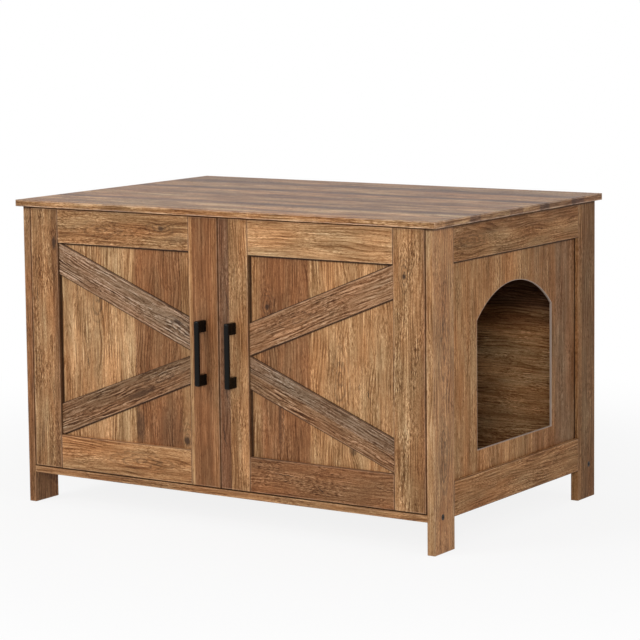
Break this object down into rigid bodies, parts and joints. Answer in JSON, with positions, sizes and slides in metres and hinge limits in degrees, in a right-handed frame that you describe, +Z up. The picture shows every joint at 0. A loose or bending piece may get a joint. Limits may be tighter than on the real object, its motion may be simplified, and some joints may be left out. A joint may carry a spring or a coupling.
{
  "type": "litter box cabinet",
  "caption": "Low wooden cabinet that hides a litter box, with two braced doors on concealed hinges, black pull handles and an arched side entrance.",
  "frame": {"origin": "on the floor, at the middle of the whole footprint with the handles", "axes": "+X to the right seen from the doors, +Y in from the doors to the back, +Z up"},
  "size_m": [0.9, 0.6144, 0.565],
  "materials": {
    "top_board": "rustic brown wood print, semi-gloss",
    "bottom_board": "rustic brown wood print, satin",
    "back_board": "rustic brown wood print, satin",
    "upright_boards": "rustic brown wood print with upright grain, satin",
    "rail_boards": "rustic brown wood print with level grain, satin",
    "inset_panels": "rustic brown plank print with upright grain, satin",
    "braces": "rustic greyish brown rough-sawn print, matt",
    "black_handles": "black satin powder coat",
    "dowel_wood": "plain beech",
    "catch_plastic": "off-white",
    "dark_screws": "dark bronze",
    "plated_steel": "nickel plated"
  },
  "bodies": {
    "carcass": {"top_panel": "top_board", "bottom_panel": "bottom_board", "back_panel": "back_board", "left_front_leg": "upright_boards", "left_rear_leg": "upright_boards", "left_side_top_rail": "rail_boards", "left_side_bottom_rail": "rail_boards", "left_side_panel": "inset_panels", "right_front_leg": "upright_boards", "right_rear_leg": "upright_boards", "right_side_top_rail": "rail_boards", "right_side_bottom_rail": "rail_boards", "right_side_panel": "inset_panels", "side_frame_dowels": "dowel_wood", "top_dowels": "dowel_wood", "cam_bolts": "plated_steel", "cam_locks": "plated_steel", "bottom_screws": "dark_screws", "magnetic_catches": "catch_plastic", "catch_screws": "plated_steel", "left_hinge_arms": "plated_steel", "left_hinge_plates": "plated_steel", "left_hinge_arm_pins": "plated_steel", "left_hinge_plate_screws": "plated_steel", "right_hinge_arms": "plated_steel", "right_hinge_plates": "plated_steel", "right_hinge_arm_pins": "plated_steel", "right_hinge_plate_screws": "plated_steel"},
    "left_hinge_links": {"left_hinge_links": "plated_steel"},
    "left_door": {"left_door_outer_stile": "upright_boards", "left_door_inner_stile": "upright_boards", "left_door_top_rail": "rail_boards", "left_door_bottom_rail": "rail_boards", "left_door_panel": "inset_panels", "left_door_upper_brace": "braces", "left_door_lower_brace": "braces", "left_handle": "black_handles", "left_handle_screws": "plated_steel", "left_door_dowels": "dowel_wood", "left_strike_plate": "plated_steel", "left_hinge_cups": "plated_steel", "left_hinge_cup_pins": "plated_steel", "left_hinge_cup_screws": "plated_steel"},
    "right_hinge_links": {"right_hinge_links": "plated_steel"},
    "right_door": {"right_door_outer_stile": "upright_boards", "right_door_inner_stile": "upright_boards", "right_door_top_rail": "rail_boards", "right_door_bottom_rail": "rail_boards", "right_door_panel": "inset_panels", "right_door_upper_brace": "braces", "right_door_lower_brace": "braces", "right_handle": "black_handles", "right_handle_screws": "plated_steel", "right_door_dowels": "dowel_wood", "right_strike_plate": "plated_steel", "right_hinge_cups": "plated_steel", "right_hinge_cup_pins": "plated_steel", "right_hinge_cup_screws": "plated_steel"}
  },
  "joints": [
    {"name": "left_hinge_arm_pivot", "type": "hinge", "parent": "carcass", "child": "left_hinge_links", "pos_m": [-0.395, -0.25875, 0.3105], "axis": [0, 0, 1], "range_deg": [0, 20]},
    {"name": "left_door_swing", "type": "hinge", "parent": "left_hinge_links", "child": "left_door", "pos_m": [-0.413, -0.27445, 0.3105], "axis": [0, 0, -1], "range_deg": [0, 110]},
    {"name": "right_hinge_arm_pivot", "type": "hinge", "parent": "carcass", "child": "right_hinge_links", "pos_m": [0.395, -0.25875, 0.3105], "axis": [0, 0, -1], "range_deg": [0, 20]},
    {"name": "right_door_swing", "type": "hinge", "parent": "right_hinge_links", "child": "right_door", "pos_m": [0.413, -0.27445, 0.3105], "axis": [0, 0, 1], "range_deg": [0, 110]}
  ],
  "couplings": [
    {"joint": "left_hinge_arm_pivot", "follows": "left_door_swing", "ratio": 0.18182},
    {"joint": "right_hinge_arm_pivot", "follows": "right_door_swing", "ratio": 0.18182}
  ]
}
